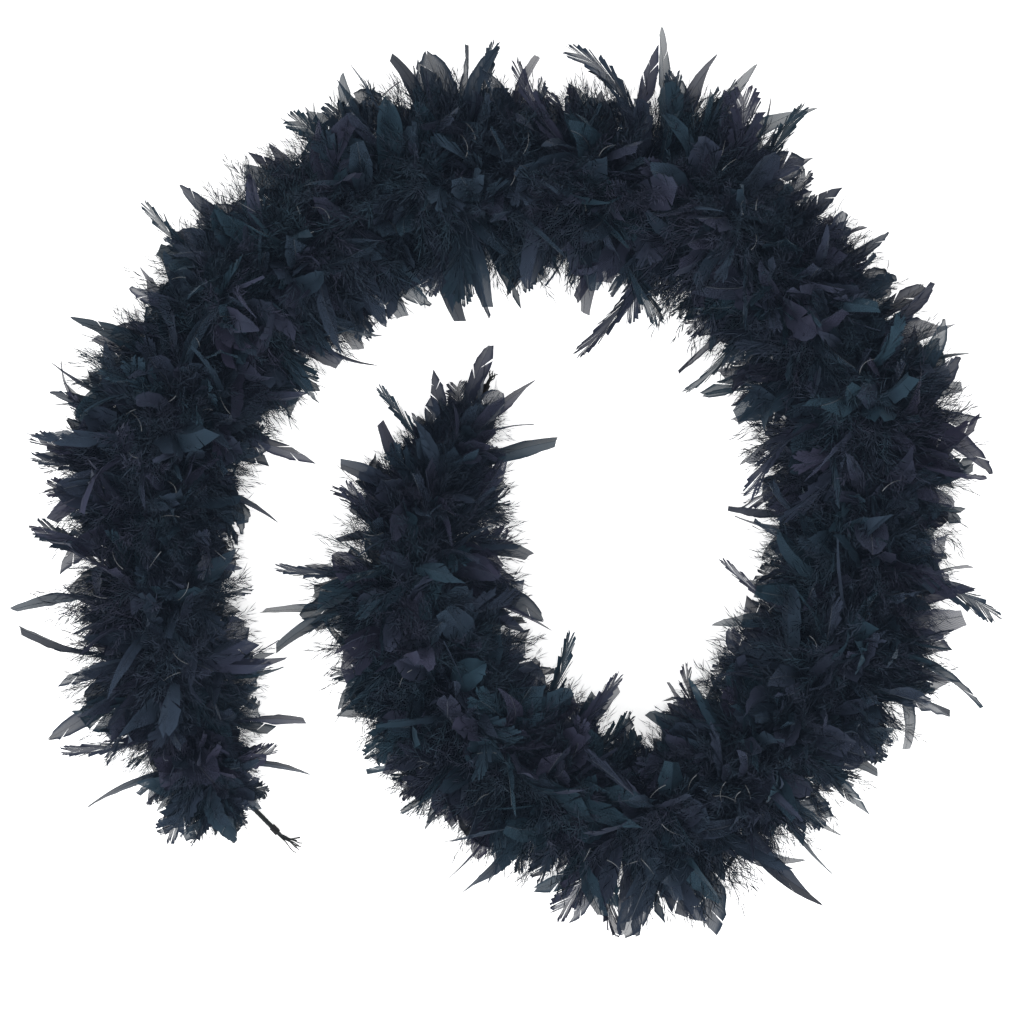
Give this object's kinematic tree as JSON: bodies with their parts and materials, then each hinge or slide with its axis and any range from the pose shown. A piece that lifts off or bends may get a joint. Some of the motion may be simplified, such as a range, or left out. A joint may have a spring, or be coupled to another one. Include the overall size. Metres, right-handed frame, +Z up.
{
  "type": "feather boa",
  "caption": "Black feather boa laid flat in an open spiral: broad clipped feathers bound on all round a long limp cord whose ends are whipped and frayed.",
  "frame": {"origin": "on the table, under the middle of the boa's bounding box, in the open middle of its spiral", "axes": "+Z up from the table it lies on, +X to the right and +Y away from someone who looks down at the spiral with its outer end at the lower left"},
  "size_m": [0.718, 0.6403, 0.1116],
  "materials": {
    "cord": "twisted dull black cotton cord",
    "thread": "waxed black sewing thread",
    "strand": "frayed cord strands, slightly green black",
    "teal_feather": "dyed black feather with a faint teal cast, soft satin sheen",
    "plum_feather": "dyed black feather with a faint plum cast, soft satin sheen"
  },
  "bodies": {
    "root": {"core_cord": "cord", "binding_thread": "thread", "outer_whipping": "thread", "inner_whipping": "thread", "outer_tassel": "strand", "inner_tassel": "strand", "feather_bunch_01": "teal_feather", "feather_bunch_02": "plum_feather", "feather_bunch_03": "teal_feather", "feather_bunch_04": "plum_feather", "feather_bunch_05": "teal_feather", "feather_bunch_06": "plum_feather", "feather_bunch_07": "teal_feather", "feather_bunch_08": "plum_feather", "feather_bunch_09": "teal_feather", "feather_bunch_10": "plum_feather", "feather_bunch_11": "teal_feather", "feather_bunch_12": "plum_feather", "feather_bunch_13": "teal_feather", "feather_bunch_14": "plum_feather", "feather_bunch_15": "teal_feather", "feather_bunch_16": "plum_feather", "feather_bunch_17": "teal_feather", "feather_bunch_18": "plum_feather", "feather_bunch_19": "teal_feather", "feather_bunch_20": "plum_feather", "feather_bunch_21": "teal_feather", "feather_bunch_22": "plum_feather", "feather_bunch_23": "teal_feather", "feather_bunch_24": "plum_feather", "feather_bunch_25": "teal_feather", "feather_bunch_26": "plum_feather", "feather_bunch_27": "teal_feather", "feather_bunch_28": "plum_feather", "feather_bunch_29": "teal_feather", "feather_bunch_30": "plum_feather", "feather_bunch_31": "teal_feather", "feather_bunch_32": "plum_feather", "feather_bunch_33": "teal_feather", "feather_bunch_34": "plum_feather", "feather_bunch_35": "teal_feather", "feather_bunch_36": "plum_feather", "feather_bunch_37": "teal_feather", "feather_bunch_38": "plum_feather", "feather_bunch_39": "teal_feather", "feather_bunch_40": "plum_feather", "feather_bunch_41": "teal_feather", "feather_bunch_42": "plum_feather", "feather_bunch_43": "teal_feather", "feather_bunch_44": "plum_feather", "feather_bunch_45": "teal_feather", "feather_bunch_46": "plum_feather", "feather_bunch_47": "teal_feather", "feather_bunch_48": "plum_feather"}
  },
  "joints": []
}
